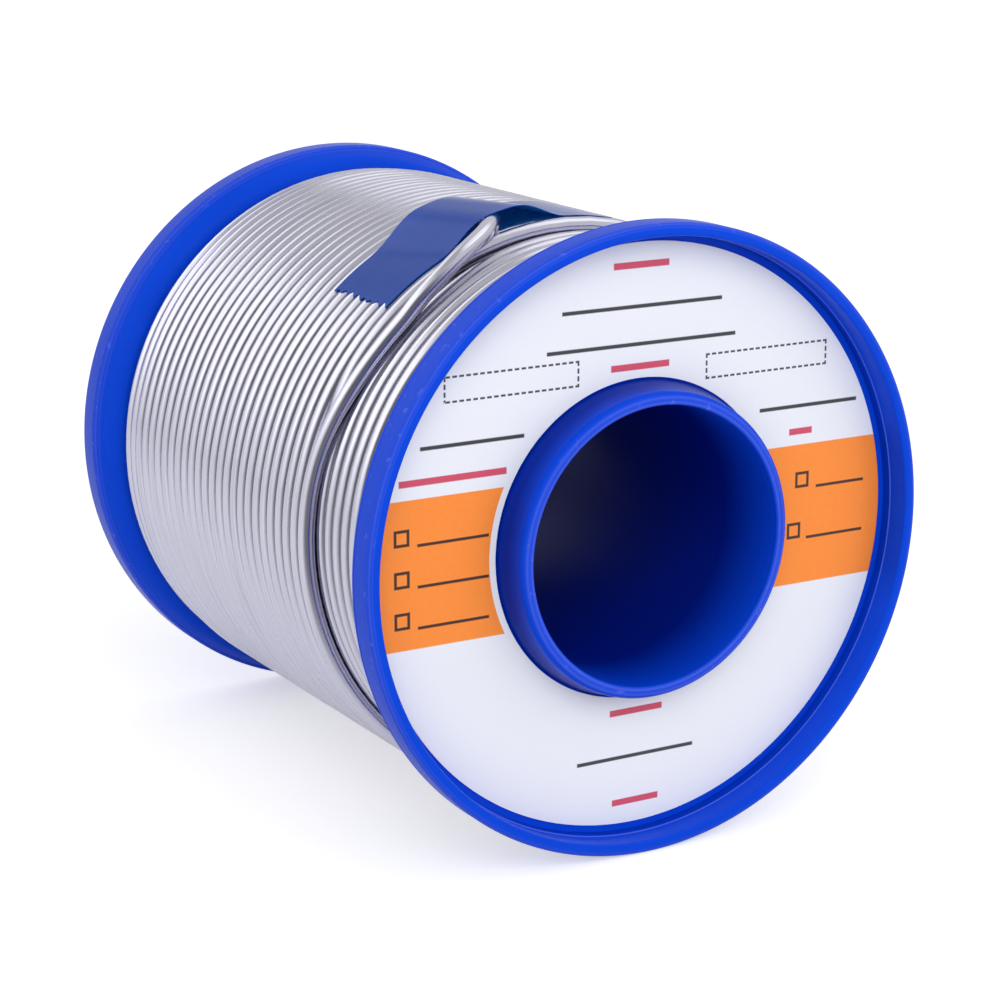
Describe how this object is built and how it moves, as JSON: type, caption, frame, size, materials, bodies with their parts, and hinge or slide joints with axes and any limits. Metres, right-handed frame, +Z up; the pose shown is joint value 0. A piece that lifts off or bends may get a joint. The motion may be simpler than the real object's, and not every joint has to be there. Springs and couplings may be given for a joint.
{
  "type": "solder wire spool",
  "caption": "Flanged plastic spool with a through bore, wound with solder wire whose taped end crosses the outer layer, and a ring label in the recessed front face.",
  "frame": {"origin": "centre of the spindle bore, halfway between the two rim faces", "axes": "+Y along the bore away from the label, +Z up with the spool lying on its rims, the wire's taped end at the top"},
  "size_m": [0.072, 0.08, 0.0727],
  "materials": {
    "spool_plastic": "semi-gloss moulded blue",
    "label_paper": "coated white paper with an orange band",
    "solder_wire": "bright drawn tin alloy",
    "tape_film": "satin slate-blue film"
  },
  "bodies": {
    "root": {"front_spool_half": "spool_plastic", "rear_spool_half": "spool_plastic", "front_label": "label_paper", "wire_inner_layers": "solder_wire", "wire_outer_layer": "solder_wire", "retaining_tape": "tape_film"}
  },
  "joints": []
}
